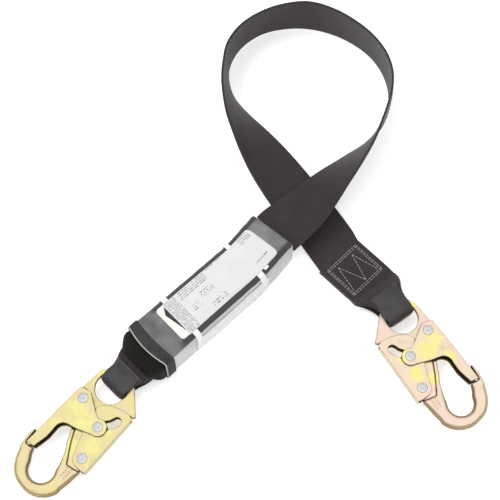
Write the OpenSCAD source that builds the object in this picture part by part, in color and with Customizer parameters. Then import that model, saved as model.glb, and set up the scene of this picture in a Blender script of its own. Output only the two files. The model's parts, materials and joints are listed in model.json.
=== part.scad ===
// Shock absorbing lanyard: a flat webbing leg, an energy absorber pack and two double-locking snap hooks.
// It lies on a table at z = 0. Lengths are in millimetres and angles in degrees.

/* [Webbing] */
// Width of the webbing leg
web_w = 44.5; // [42:0.5:45]
// Thickness of one ply of webbing
web_t = 2; // [1.6:0.1:2]
// Wall of the tubular wear sleeve on each eye
sleeve_t = 1.3; // [1:0.1:1.3]
// Width of the folded webbing where it passes through a hook's eye
eye_web_w = 22; // [18:1:22]
// Width of the wear sleeve
sleeve_w = 24.6; // [22:0.2:24.6]

/* [Absorber pack] */
// Width of the pack
pack_w = 44.6; // [42:0.2:46]
// Height of the pack above the table
pack_h = 33; // [30:1:36]
// Length of the straight stretch, from the hem to the bend
pack_straight = 103; // [100:1:106]
// Length of the stretch past the bend
pack_bent = 38; // [34:1:40]
// How far the upper stretch bends sideways
pack_bend = 7; // [0:1:10]
// Wall of the fabric cover
cover_t = 1.2; // [0.8:0.1:1.4]
// Layers of tear webbing folded inside
core_layers = 7; // [5:1:7]

/* [Snap hooks] */
// Radius of the webbing eye
eye_r = 13; // [12.5:0.1:13.2]
// Outer radius of the eye ring
ring_r = 17; // [16.5:0.1:17.4]
// Thickness of the forged plate
plate_t = 5; // [4.6:0.1:5]
// Thickness of the forged bowl and nose
bowl_t = 8.5; // [8:0.1:8.5]
// Inner radius of the bowl
bowl_r = 10.5; // [10:0.1:10.8]
// Thickness of the lock lever's sheet
lever_t = 1.6; // [1.4:0.1:1.6]
// Thickness of the gate's sheet
gate_t = 1.8; // [1.6:0.1:1.8]
// Radius of the rivets' shanks
rivet_r = 2.5; // [2.3:0.1:2.5]
// Radius of the rivets' heads
head_r = 4; // [3.6:0.1:4.2]

/* [Hidden] */
HOOK_PARTS = ["body", "gate", "lever", "gate_rivet", "catch_rivet", "lever_rivet", "gate_spring",
              "lever_spring"];
$fn = 48;

gold = [0.9, 0.82, 0.5];
silver = [0.8, 0.8, 0.8];
black = [0.12, 0.11, 0.11];
charcoal = [0.25, 0.23, 0.23];
grey = [0.42, 0.42, 0.42];
white = [0.92, 0.92, 0.92];
hem_grey = [0.3, 0.3, 0.3];
side_white = [0.85, 0.85, 0.86];
thread_grey = [0.7, 0.7, 0.7];

// The plan is drawn about a corner of the loop, and this shift brings the base's middle to the origin.
plan_shift = [-2.9, 96.3, 0];

// Hook frame: origin at the eye's centre, +x towards the bowl, +y towards the gate, z through the plate.
// It rests on the catch rivet's head, the gate's tip and the bowl, so it lies a little tilted.
hook_rise = 9.57;
hook_tilt = 3.04;
hook_roll = 0.98;
absorber_eye = [-110, -125, hook_rise];
absorber_yaw = -121;
strap_eye = [123.4, -65.7, hook_rise];
strap_yaw = -66;

gate_pivot = [18.4, 13.7];
catch_pin = [32, -9];
lever_pivot = [58.8, -11.6];
slot_bend = [24.4, -16.8];
slot_end = [20.6, -19.1];
slot_r = rivet_r + 1.1;
bowl_c = [81.5, 11.3];
fit = 0.05;
slip = 0.2;
lever_in = plate_t / 2 + slip;
lever_out = lever_in + lever_t;
gate_in = lever_out + slip;
gate_out = gate_in + gate_t;
head_t = 1.2;

function smooth(u) = let (c = max(0, min(1, u))) c * c * (3 - 2 * c);
function arc(c, r, from, to, n) =
    [for (i = [0:n]) let (a = from + (to - from) * i / n) [c[0] + r * cos(a), c[1] + r * sin(a)]];
function unit(v) = v / norm(v);

// ---- swept tubes and bands ----

// Catmull-Rom through the points p, with m steps between each two; extra columns are carried along.
function spline_at(p, i, u) =
    let (n = len(p) - 1, a = p[max(0, i - 1)], b = p[i], c = p[min(n, i + 1)], d = p[min(n, i + 2)])
    0.5 * (2 * b + (c - a) * u + (2 * a - 5 * b + 4 * c - d) * u * u
           + (3 * b - a - 3 * c + d) * u * u * u);
function spline(p, m) =
    concat([for (i = [0:len(p) - 2], k = [0:m - 1]) spline_at(p, i, k / m)], [p[len(p) - 1]]);

// A closed skin over rings that have the same number of points.
module skin(rings) {
    n = len(rings[0]);
    m = len(rings);
    points = [for (r = rings, q = r) q];
    sides = [for (i = [0:m - 2], k = [0:n - 1])
        [i * n + k, i * n + (k + 1) % n, (i + 1) * n + (k + 1) % n, (i + 1) * n + k]];
    start = [for (k = [n - 1:-1:0]) k];
    finish = [for (k = [0:n - 1]) (m - 1) * n + k];
    polyhedron(points, concat(sides, [start], [finish]), convexity = 10);
}

// Wire of radius r along a route of points that never runs along the axis given.
module wire(route, r, axis, n) {
    last = len(route) - 1;
    skin([for (i = [0:last])
        let (t = unit(route[min(last, i + 1)] - route[max(0, i - 1)]),
             s = unit(cross(t, axis)),
             u = cross(t, s))
        [for (k = [0:n - 1]) route[i] + r * s * cos(360 * k / n) + r * u * sin(360 * k / n)]]);
}

// ---- snap hook ----

module plate_outline() {
    circle(r = ring_r, $fn = 96);
    translate(gate_pivot) circle(r = 5.4);
    polygon(concat(
        [[-12, -14.2], [9.8, -29.3], [11.6, -28], [12, -15.5], [17.5, -4.5], [27, -3.2], [34.6, -3.2]],
        arc([42.6, -8.6], 5, 150, 230, 6),
        [[52, -16], [69.5, -15], [72, 1.4], [62, 2.8], [54, 6], [43.2, 9], [30, 14.4], [20, 18],
         [12, 15], [0, 14]]));
    // The eye's outer edge runs straight on to the gate's corner.
    polygon([[-4.5, 16.4], [10.8, 20.3], [10.8, 12], [0, 10]]);
}

// Bowl, nose and the raised bead along the throat, thicker than the plate.
module bowl_outline() {
    polygon(concat(
        [[69, -15.3], [80, -12.8], [87.6, -10]],
        arc([80.1, 9.8], 22.2, -62, 24, 16),
        [[98.6, 23.4], [95.4, 27.8], [91, 31.2], [85.6, 33.8], [79.6, 35.4], [73.6, 36], [66, 35.8],
         [60, 34.9], [57.4, 33.8], [57.8, 31.9], [66, 33], [70.6, 33.4], [70.8, 25.8], [75.2, 24.7]],
        arc(bowl_c, bowl_r - 1, 66, -100, 20),
        [[72, 1.4], [62, 2.8], [54, 6], [43.2, 9], [42.5, 6.2], [53, 2.8], [61.5, -0.6], [69, -4]]));
}

module hook_body() {
    color(gold) difference() {
        union() {
            translate([0, 0, -plate_t / 2]) linear_extrude(plate_t) plate_outline();
            translate([0, 0, -bowl_t / 2]) linear_extrude(bowl_t) bowl_outline();
        }
        translate([0, 0, -plate_t]) cylinder(r = eye_r, h = 2 * plate_t, $fn = 96);
        translate([bowl_c[0], bowl_c[1], -plate_t]) cylinder(r = bowl_r, h = 2 * plate_t, $fn = 96);
        for (p = [gate_pivot, lever_pivot])
            translate([p[0], p[1], -plate_t]) cylinder(r = rivet_r + fit, h = 2 * plate_t);
    }
}

// The outer edge of the gate, and its inside face one sheet lower.
gate_edge = [[11.3, 20.7], [36.9, 26.4], [58, 30.4], [66, 31.9]];
module gate_cheek_outline() {
    translate(gate_pivot) circle(r = 6.8);
    translate(catch_pin + [0.4, 0]) circle(r = 7.2);
    polygon(concat(gate_edge, [[70.2, 32.6], [70, 25.8], [58.5, 21.3]],
        arc([49.5, 12.4], 7.6, 85, 180, 8),
        [[41.6, 5], [39.5, -8], [26, -6], [23.4, -1.8], [17.8, 4.3], [10.8, 11.5]]));
}

module hook_gate() {
    color(gold) difference() {
        union() {
            for (z = [gate_in, -gate_out])
                translate([0, 0, z]) linear_extrude(gate_t) gate_cheek_outline();
            translate([0, 0, -gate_out]) linear_extrude(2 * gate_out)
                polygon(concat(gate_edge, [for (i = [3:-1:0]) gate_edge[i] - [0, gate_t]]));
        }
        for (p = [gate_pivot, catch_pin])
            translate([p[0], p[1], -2 * gate_out]) cylinder(r = rivet_r + fit, h = 4 * gate_out);
    }
}

// The spine of the lever, on the back of the hook.
lever_spine = [[15.5, -28], [67.5, -19.8]];
module lever_cheek_outline() {
    polygon(concat([[35.5, 0.5], [18.9, 1.1], [15.2, -1.6], [12, -7.4], [10.4, -17.2], [11, -24.6],
                    [13.2, -28.36]], lever_spine, [[67.8, -16.4], [65.8, -8.2], [62.6, -4.8]]));
}

module hook_lever() {
    color(gold) difference() {
        union() {
            for (z = [lever_in, -lever_out])
                translate([0, 0, z]) linear_extrude(lever_t) difference() {
                    lever_cheek_outline();
                    slot_outline(slot_r);
                }
            translate([0, 0, -lever_out]) linear_extrude(2 * lever_out)
                polygon(concat(lever_spine, [lever_spine[1] + [0, lever_t], lever_spine[0] + [0, lever_t]]));
        }
        translate([lever_pivot[0], lever_pivot[1], -2 * lever_out])
            cylinder(r = rivet_r + fit, h = 4 * lever_out);
    }
}

// The slot that the catch rivet runs along, with a slight bend near its end.
module slot_outline(r) {
    first = slot_bend - catch_pin;
    second = slot_end - slot_bend;
    a = 360 + atan2(first[1], first[0]);
    b = 360 + atan2(second[1], second[0]);
    middle = (a + b) / 2;
    polygon(concat(arc(catch_pin, r, a + 90, a + 270, 12), arc(slot_bend, r, middle - 90, middle - 90, 1),
                   arc(slot_end, r, b - 90, b + 90, 12), arc(slot_bend, r, middle + 90, middle + 90, 1)));
}

// A rivet through everything within reach on each side, with a head past it.
module rivet(p, reach) {
    color(silver) translate([p[0], p[1], 0]) {
        translate([0, 0, -reach - head_t]) cylinder(r = rivet_r, h = 2 * (reach + head_t));
        for (s = [-1, 1])
            translate([0, 0, s * (reach + fit + (head_t - fit) / 2)])
                cylinder(r = head_r, h = head_t - fit, center = true);
    }
}

// Torsion spring round the gate rivet, one coil in the gap on each side of the plate.
spring_z = (plate_t / 2 + gate_in) / 2;
gate_coil_r = 3.9;
gate_wire_r = 0.6;
gate_spring_leg = 7;
module hook_gate_spring() {
    color(silver) for (s = [-1, 1])
        translate([gate_pivot[0], gate_pivot[1], s * spring_z]) rotate([0, 0, 40]) {
            rotate_extrude(angle = 300) translate([gate_coil_r, 0]) circle(r = gate_wire_r, $fn = 24);
            translate([gate_coil_r, 0, 0]) rotate([90, 0, 0])
                cylinder(r = gate_wire_r, h = gate_spring_leg, $fn = 24);
        }
}

// Compression spring between the plate's back edge and the lever's spine.
lever_spring_x = 46;
lever_spring_y = [-20.6, -15.7];
lever_coil_r = 1.7;
lever_wire_r = 0.35;
module hook_lever_spring() {
    turns = 4;
    steps = 12 * turns;
    color(silver) wire([for (i = [0:steps])
        let (a = 360 * turns * i / steps)
        [lever_spring_x + lever_coil_r * cos(a),
         lever_spring_y[0] + (lever_spring_y[1] - lever_spring_y[0]) * i / steps,
         lever_coil_r * sin(a)]], lever_wire_r, [0, 1, 0], 6);
}

module hook_part(part) {
    if (part == "body") hook_body();
    if (part == "gate") hook_gate();
    if (part == "lever") hook_lever();
    if (part == "gate_rivet") rivet(gate_pivot, gate_out);
    if (part == "catch_rivet") rivet(catch_pin, gate_out);
    if (part == "lever_rivet") rivet(lever_pivot, lever_out);
    if (part == "gate_spring") hook_gate_spring();
    if (part == "lever_spring") hook_lever_spring();
}

// The absorber's hook lies on its other face, so it is turned over about its length.
module on_absorber_hook() {
    translate(absorber_eye + plan_shift) rotate([-hook_roll, hook_tilt, absorber_yaw])
        rotate([180, 0, 0]) children();
}

module on_strap_hook() {
    translate(strap_eye + plan_shift) rotate([hook_roll, hook_tilt, strap_yaw]) children();
}

// ---- webbing eyes ----

// Each eye is one strip of webbing, folded round the hook's ring: a side view, cut to its plan.
// Neck frame: origin below the fold line at the sewn end, +x towards the hook, +z up.
ring_z = hook_rise + 0.7;
sewn_half = web_t + 0.1;
inner_bight = 4.8;
// Half the gap between the two plies at the sewn end.
ply_gap = 0.15;
absorber_mouth = [-88.3, -103.8];
absorber_mouth_z = 14;
strap_mouth = [99.8, -32.8];
strap_mouth_z = sewn_half + 0.1;

function neck_len(eye, mouth) = norm([eye[0] - mouth[0], eye[1] - mouth[1]]);
function neck_yaw(eye, mouth) = atan2(eye[1] - mouth[1], eye[0] - mouth[0]);
absorber_neck = neck_len(absorber_eye, absorber_mouth);
strap_neck = neck_len(strap_eye, strap_mouth);

// Centre of the fold inside the eye, for a neck of length len.
function bight_x(len) = len + 1 - inner_bight - web_t - sleeve_t;
function neck_mid(x, len, z0) = z0 + (ring_z - z0) * smooth(x / (0.42 * len));
function neck_half(x, len, h) = h + (inner_bight - ply_gap) * smooth(x / (0.75 * bight_x(len)));

// Side view out to a half height of h at the sewn end, from x0 to the fold.
function neck_side(len, z0, h, x0) =
    let (xb = bight_x(len), n = 14, xs = [for (i = [0:n]) x0 + (xb - x0) * i / n],
         r = neck_half(xb, len, h))
    concat([for (x = xs) [x, neck_mid(x, len, z0) + neck_half(x, len, h)]],
           arc([xb, ring_z], r, 75, -75, 10),
           [for (i = [n:-1:0]) [xs[i], neck_mid(xs[i], len, z0) - neck_half(xs[i], len, h)]]);

module side_solid(points, width) {
    translate([0, width / 2, 0]) rotate([90, 0, 0]) linear_extrude(width) polygon(points);
}

module neck_webbing(len, z0) {
    color(charcoal) difference() {
        intersection() {
            union() {
                side_solid(neck_side(len, z0, sewn_half, 0), web_w);
                translate([0, web_w / 2, z0]) rotate([90, 0, 0]) cylinder(r = sewn_half, h = web_w);
            }
            neck_plan(len, web_w / 2 - slip, eye_web_w / 2);
        }
        side_solid(neck_side(len, z0, ply_gap, 5), web_w + 2);
    }
}

module neck_sleeve(len, z0) {
    color(black) difference() {
        side_solid(neck_side(len, z0, sewn_half + 0.05 + sleeve_t, 0.3 * len), sleeve_w);
        side_solid(neck_side(len, z0, sewn_half + 0.05, 0.3 * len - 2), sleeve_w + 2);
    }
}

// Plan of the neck: full width at the sewn end, folded in by a fifth of its length.
module neck_plan(len, wide, narrow) {
    half = [[-4, wide], [1, wide], [0.28 * len, narrow], [len + 8, narrow]];
    translate([0, 0, -pack_h]) linear_extrude(2 * pack_h)
        polygon(concat(half, [for (i = [3:-1:0]) [half[i][0], -half[i][1]]]));
}

module on_absorber_neck() {
    translate([absorber_mouth[0], absorber_mouth[1], 0] + plan_shift)
        rotate([0, 0, neck_yaw(absorber_eye, absorber_mouth)]) children();
}

module on_strap_neck() {
    translate([strap_mouth[0], strap_mouth[1], 0] + plan_shift)
        rotate([0, 0, neck_yaw(strap_eye, strap_mouth)]) children();
}

// ---- absorber pack ----

// Pack frame: origin under the hem's middle, +x along the pack towards the strap, +z up.
pack_hem_at = [-79.6, -95.4, 0];
pack_yaw = 43.5;
pack_end = pack_straight + pack_bent;
label_t = 0.4;

module on_pack() {
    translate(pack_hem_at + plan_shift) rotate([0, 0, pack_yaw]) children();
}

// Plan of a strip of half width w along the pack's bent centre line.
function bent(d, w) =
    [pack_straight + d * cos(pack_bend) - w * sin(pack_bend), d * sin(pack_bend) + w * cos(pack_bend)];
function pack_strip(x0, x1, w) =
    x1 <= pack_straight
    ? [[x0, -w], [x1, -w], [x1, w], [x0, w]]
    : [[x0, -w], [pack_straight + w * tan(pack_bend / 2), -w], bent(x1 - pack_straight, -w),
       bent(x1 - pack_straight, w), [pack_straight - w * tan(pack_bend / 2), w], [x0, w]];

module pack_block(x0, x1, w, z0, z1) {
    translate([0, 0, z0]) linear_extrude(z1 - z0) polygon(pack_strip(x0, x1, w));
}

strap_exit_z = 17;
cover_top = pack_h - label_t;

module pack_cover() {
    w = pack_w / 2 - label_t;
    color(grey) difference() {
        pack_block(0, pack_end, w, 0, cover_top);
        pack_block(-1, pack_end - cover_t, w - cover_t, cover_t, cover_top - cover_t);
        pack_block(pack_end - 5, pack_end + 2, w + 1, strap_exit_z - 1.6, strap_exit_z + 1.6);
    }
}

hem_x = [-1.5, 6.6];
module pack_hem() {
    w = pack_w / 2;
    color(hem_grey) difference() {
        pack_block(hem_x[0], hem_x[1], w, 0.3, pack_h - 0.2);
        pack_block(0, 8, w - label_t + 0.02, -1, cover_top + 0.02);
        pack_block(-2, 8, w - cover_t - 1.3, 2.5, cover_top - 2.3);
    }
}

// Black inner bag that shows past the hem, with a mouth for the webbing loop.
liner_slot = 3.8;
module pack_liner() {
    color(black) difference() {
        union() {
            pack_block(-8, 6, pack_w / 2 - 2.6, 3, cover_top - 2.8);
            pack_block(-9.2, -7, pack_w / 2 - 6, 7, cover_top - 11);
        }
        pack_block(-20, -5, pack_w, absorber_mouth_z - liner_slot, absorber_mouth_z + liner_slot);
        pack_block(-6, 7, pack_w / 2 - 3.8, 4.2, cover_top - 4);
    }
}

// Tear webbing, folded back on itself in layers.
core_x = [9, 98];
layer_pitch = 3;
core_z = strap_exit_z - layer_pitch * (core_layers - 1) / 2;
core_half_w = 18.5;
core_half_t = 1;

module tear_web_core() {
    fold = 2 * core_half_t;
    color(black) {
        for (i = [0:core_layers - 1])
            pack_block(core_x[0], core_x[1], core_half_w, core_z + layer_pitch * i - core_half_t,
                       core_z + layer_pitch * i + core_half_t);
        for (i = [0:core_layers - 2]) {
            x0 = i % 2 == 0 ? core_x[1] : core_x[0] - fold;
            pack_block(x0, x0 + fold, core_half_w, core_z + layer_pitch * i - core_half_t,
                       core_z + layer_pitch * (i + 1) + core_half_t);
        }
    }
}

// Bar tacks across the top layer, which tear out one by one.
tack_pitch = 6;
tack_half_w = 15;
module tear_web_stitching() {
    top = core_z + layer_pitch * (core_layers - 1) + core_half_t;
    color(white) for (x = [core_x[0] + 7:tack_pitch:core_x[1] - 6])
        pack_block(x, x + 1, tack_half_w, top + 0.02, top + 0.5);
}

// Webbing tails that join the folded core to the loop and to the leg.
module loop_tail() {
    color(charcoal) pack_block(-8.6, core_x[0] - 2.2, 14.6, absorber_mouth_z - web_t,
                               absorber_mouth_z + web_t);
}

module strap_tail() {
    color(charcoal) pack_block(core_x[1] + 2.2, pack_end - 0.2, pack_w / 2 - 2,
                               strap_exit_z - web_t / 2, strap_exit_z + web_t / 2);
}

label_x = [29, 127];
label_half_w = 19;
module label_front() {
    color(white) pack_block(label_x[0], label_x[1], label_half_w, cover_top + 0.02, pack_h);
}

// Label on the pack's front side, and the white tabs that wrap over the pack's edges.
side_label_from = [30, -pack_w / 2, 4];
side_label_size = [78, label_t - 0.02, 25];
module label_side() {
    color(side_white) translate(side_label_from) cube(side_label_size);
}

tab_x = [31, 101];
tab_long = 5;
module label_tabs() {
    near = label_half_w + 0.7;
    color(white) for (x = tab_x, s = [-1, 1])
        translate([x, s > 0 ? near : -pack_w / 2, cover_top + 0.02])
            cube([tab_long, pack_w / 2 - near, label_t - 0.02]);
}

flap_x = [21, 28.5];
flap_half_w = 17;
module label_flap() {
    color(white) pack_block(flap_x[0], flap_x[1], flap_half_w, cover_top + 0.02, pack_h);
}

// ---- webbing leg ----

// Route of the webbing's centre line in plan: x, y, z and how far the outer edge is turned up.
strap_route = [
    [21, 7, 17, 0], [27, 13, 17, 0], [33, 19, 16, 4], [44, 30, 14, 12], [54, 41, 14, 22],
    [66, 54, 16, 34], [80, 68, 19, 48], [94, 83, 21, 62], [106, 98, 22, 76], [115, 113, 23.6, 86],
    [121, 130, 23.6, 90], [123, 148, 23.6, 92], [119, 167, 23.6, 94], [109, 185, 23.6, 96], [94, 200, 23.6, 96],
    [75, 212, 23.6, 94], [53, 219, 23.6, 92], [31, 218, 23.6, 94], [10, 211, 23.6, 96], [-8, 197, 23.6, 94],
    [-19, 178, 23.6, 90], [-21, 158, 23.6, 84], [-18, 138, 22.6, 72], [-10, 119, 19, 54],
    [3, 99, 13.4, 34], [17, 79, 7.4, 16], [30, 61, 3.4, 5], [42, 44, 1.5, 0], [54, 27, 1.4, 0],
    [65, 10, 1.6, 0], [71.4, -1, 3.1, 0], [73, -3.6, 3.2, 0]
];

// Flat section with eased edges, turned about the direction of travel.
module lanyard_strap() {
    half = web_w / 2;
    t = web_t / 2 - 0.1;
    section = [[-half, 0], [-half + 1, -t], [0, -t], [half - 1, -t],
               [half, 0], [half - 1, t], [0, t], [-half + 1, t]];
    route = spline(strap_route, 2);
    last = len(route) - 1;
    color(charcoal) translate(plan_shift) skin([for (i = [0:last])
        let (ahead = route[min(last, i + 1)] - route[max(0, i - 1)],
             along = unit([ahead[0], ahead[1], ahead[2]]),
             flat = unit([along[1], -along[0], 0]),
             up = cross(flat, along),
             roll = route[i][3],
             across = flat * cos(roll) + up * sin(roll),
             face = up * cos(roll) - flat * sin(roll))
        [for (q = section) [route[i][0], route[i][1], route[i][2]] + q[0] * across + q[1] * face]]);
}

// Sewn end: the leg lies on the ply that comes back from the hook.
sewn_yaw = -45;
sewn_len = 35;
module on_sewn_end() {
    translate([strap_mouth[0], strap_mouth[1], 0] + plan_shift) rotate([0, 0, sewn_yaw]) children();
}

sewn_gap = 2.6;
module strap_sewn_end() {
    w = web_w / 2;
    skew = w * tan(sewn_yaw - neck_yaw(strap_eye, strap_mouth));
    color(charcoal) on_sewn_end() for (z = [0.1, web_t + 0.3])
        translate([0, 0, z]) linear_extrude(web_t)
            polygon([[-sewn_len, -w], [-sewn_gap - skew, -w], [-sewn_gap + skew, w], [-sewn_len, w]]);
}

// Box of double lines with a zigzag inside, sewn through both plies.
box_long = 27;
box_wide = 34;
box_inset = 3.8;
thread_w = 0.6;
thread_t = 0.4;
module strap_box_stitching() {
    z = 2 * web_t + 0.32;
    run = [box_long - 8, 7.5];
    slope = atan2(run[1], run[0]);
    color(thread_grey) on_sewn_end() translate([-sewn_gap - box_inset - box_long, -box_wide / 2, z]) {
        for (x = [0, 2, box_long - 2, box_long])
            translate([x - thread_w / 2, 0, 0]) cube([thread_w, box_wide, thread_t]);
        for (y = [0, box_wide])
            translate([0, y - thread_w / 2, 0]) cube([box_long, thread_w, thread_t]);
        for (i = [0:3])
            translate([i % 2 == 0 ? 4 : 4 + run[0], 2 + i * run[1], 0])
                rotate([0, 0, i % 2 == 0 ? slope : 180 - slope])
                    translate([0, -thread_w / 2, 0]) cube([norm(run), thread_w, thread_t]);
    }
}

for (part = HOOK_PARTS) {
    on_absorber_hook() hook_part(part);
    on_strap_hook() hook_part(part);
}
on_absorber_neck() neck_webbing(absorber_neck, absorber_mouth_z);  // absorber_eye_webbing
on_absorber_neck() neck_sleeve(absorber_neck, absorber_mouth_z);  // absorber_eye_sleeve
on_strap_neck() neck_webbing(strap_neck, strap_mouth_z);  // strap_eye_webbing
on_strap_neck() neck_sleeve(strap_neck, strap_mouth_z);  // strap_eye_sleeve
on_pack() tear_web_core();
on_pack() tear_web_stitching();
on_pack() loop_tail();
on_pack() strap_tail();
on_pack() pack_cover();
on_pack() pack_hem();
on_pack() pack_liner();
on_pack() label_front();
on_pack() label_side();
on_pack() label_tabs();
on_pack() label_flap();
lanyard_strap();
strap_sewn_end();
strap_box_stitching();
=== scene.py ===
"""Looks of the shock absorbing lanyard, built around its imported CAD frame. Units are metres."""
import json
import math

import bpy
import numpy as np
from mathutils import Matrix, Vector, noise
from mathutils.kdtree import KDTree


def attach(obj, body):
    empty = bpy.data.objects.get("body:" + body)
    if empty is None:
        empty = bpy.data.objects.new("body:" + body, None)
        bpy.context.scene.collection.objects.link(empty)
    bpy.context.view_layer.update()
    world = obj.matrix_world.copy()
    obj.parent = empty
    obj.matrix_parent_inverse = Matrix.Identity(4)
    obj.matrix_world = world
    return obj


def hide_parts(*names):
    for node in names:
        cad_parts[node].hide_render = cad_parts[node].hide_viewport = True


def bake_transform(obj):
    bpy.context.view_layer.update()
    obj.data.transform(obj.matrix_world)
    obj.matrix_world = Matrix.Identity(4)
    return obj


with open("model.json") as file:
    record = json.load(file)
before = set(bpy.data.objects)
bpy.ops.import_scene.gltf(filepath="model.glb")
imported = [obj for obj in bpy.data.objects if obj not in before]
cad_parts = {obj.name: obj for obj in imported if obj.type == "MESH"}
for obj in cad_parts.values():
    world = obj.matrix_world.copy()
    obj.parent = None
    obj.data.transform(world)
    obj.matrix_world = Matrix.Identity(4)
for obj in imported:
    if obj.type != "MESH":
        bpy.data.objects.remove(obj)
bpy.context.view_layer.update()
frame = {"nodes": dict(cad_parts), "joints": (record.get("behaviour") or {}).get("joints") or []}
joints = {j["name"]: j for j in frame["joints"]}
MM = 0.001

# How far the CAD's plan is shifted onto the frame's origin.
PLAN_SHIFT = Vector((-0.0029, 0.0963, 0))
# The webbing's width and thickness, and half the width that its pieces are drawn with.
WEB_W = 0.0445
WEB_T = 0.002
WEB_HALF = WEB_W / 2 - 0.0004
# Heading of the leg's sewn end in plan, and its length.
SEWN_YAW = math.radians(-45)
SEWN_LENGTH = 0.035


def smooth(u):
    u = min(1.0, max(0.0, u))
    return u * u * (3 - 2 * u)


def lerp(a, b, u):
    return a + (b - a) * u


def heading(angle):
    """Unit direction in plan, at an angle from x."""
    return Vector((math.cos(angle), math.sin(angle), 0))


def turns(count):
    """Angles of evenly spaced points round a circle."""
    return [2 * math.pi * k / count for k in range(count)]


# ---- camera

CAMERA_ELEVATION = math.radians(66)
CAMERA_DISTANCE = 1.08
MM_PER_PIXEL = 0.84
PICTURE_PIXELS = 500
SENSOR = 36.0


def make_camera():
    """A long lens that looks down at the plan's middle."""
    data = bpy.data.cameras.new("camera")
    data.sensor_width = SENSOR
    data.lens = SENSOR * CAMERA_DISTANCE / (MM_PER_PIXEL * MM) / PICTURE_PIXELS
    data.clip_start, data.clip_end = 0.05, 20
    camera = bpy.data.objects.new("camera", data)
    bpy.context.scene.collection.objects.link(camera)
    back = Vector((0, -math.cos(CAMERA_ELEVATION), math.sin(CAMERA_ELEVATION)))
    camera.location = PLAN_SHIFT + back * CAMERA_DISTANCE
    camera.rotation_mode = "QUATERNION"
    camera.rotation_quaternion = (-back).to_track_quat("-Z", "Y")
    bpy.context.scene.camera = camera


make_camera()

# ---- mesh helpers


def mesh_object(name, verts, faces, uvs=None):
    """A mesh object from points and faces, with one UV per vertex where given."""
    data = bpy.data.meshes.new(name)
    data.from_pydata([tuple(v) for v in verts], [], faces)
    if uvs is not None:
        layer = data.uv_layers.new(name="UVMap")
        for loop in data.loops:
            layer.data[loop.index].uv = uvs[loop.vertex_index]
    data.update()
    piece = bpy.data.objects.new(name, data)
    bpy.context.scene.collection.objects.link(piece)
    for polygon in data.polygons:
        polygon.use_smooth = True
    return piece


def read_points(data):
    """A mesh's points as rows of x, y and z."""
    points = np.empty(len(data.vertices) * 3)
    data.vertices.foreach_get("co", points)
    return points.reshape(-1, 3)


def write_points(data, points):
    data.vertices.foreach_set("co", points.ravel())
    data.update()


def running_length(points):
    """Distance along a line of points from its first to each of them."""
    lengths = [0.0]
    for a, b in zip(points, points[1:]):
        lengths.append(lengths[-1] + (Vector(b) - Vector(a)).length)
    return lengths


def apply_modifiers(piece):
    """Puts what the modifiers make in place of the piece's mesh."""
    depsgraph = bpy.context.evaluated_depsgraph_get()
    data = bpy.data.meshes.new_from_object(piece.evaluated_get(depsgraph), depsgraph=depsgraph)
    piece.modifiers.clear()
    old = piece.data
    piece.data = data
    if old.users == 0:
        bpy.data.meshes.remove(old)
    for polygon in piece.data.polygons:
        polygon.use_smooth = True
    return piece


def grid_faces(rows, columns, closed=False):
    """Quads between neighbouring points of a grid, joined round where its rows are closed."""
    return [(i * columns + k, i * columns + (k + 1) % columns,
             (i + 1) * columns + (k + 1) % columns, (i + 1) * columns + k)
            for i in range(rows - 1) for k in range(columns if closed else columns - 1)]


def grid_piece(name, rows, thickness, closed=False, bevel=None):
    """A cloth-like piece from rows of points: a surface with UVs in metres, then given its thickness."""
    m, n = len(rows), len(rows[0])
    across = running_length(rows[m // 2])
    along = running_length([row[n // 2] for row in rows])
    uvs = [(across[k] - across[-1] / 2, along[i]) for i in range(m) for k in range(n)]
    verts = [p for row in rows for p in row]
    faces = grid_faces(m, n, closed)
    piece = mesh_object(name, verts, faces, uvs)
    solid = piece.modifiers.new("thickness", "SOLIDIFY")
    solid.thickness = thickness
    solid.offset = 0.0
    if bevel:
        edge = piece.modifiers.new("edge", "BEVEL")
        edge.width = bevel
        edge.segments = 3
        edge.limit_method = "ANGLE"
        edge.angle_limit = math.radians(50)
    apply_modifiers(piece)
    return piece


def tube_piece(name, rings):
    """A closed skin over rings of points, each end rounded off to its middle."""
    n = len(rings[0])
    verts = [Vector(p) for ring in rings for p in ring]
    faces = grid_faces(len(rings), n, closed=True)
    along = running_length([ring[0] for ring in rings])
    around = running_length(rings[len(rings) // 2])
    girth = around[-1] + (Vector(rings[0][0]) - Vector(rings[0][-1])).length
    around = [d if d < girth / 2 else d - girth for d in around]
    uvs = [(around[k], along[i]) for i in range(len(rings)) for k in range(n)]
    for first, order in ((0, -1), (len(rings) - 1, 1)):
        ring = list(range(first * n, first * n + n))
        middle = sum((verts[j] for j in ring), Vector()) / n
        verts.append(middle)
        uvs.append((0, along[first]))
        centre = len(verts) - 1
        for k in range(n):
            a, b = ring[k], ring[(k + 1) % n]
            faces.append((a, b, centre) if order > 0 else (b, a, centre))
    return mesh_object(name, verts, faces, uvs)


# ---- materials


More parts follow.
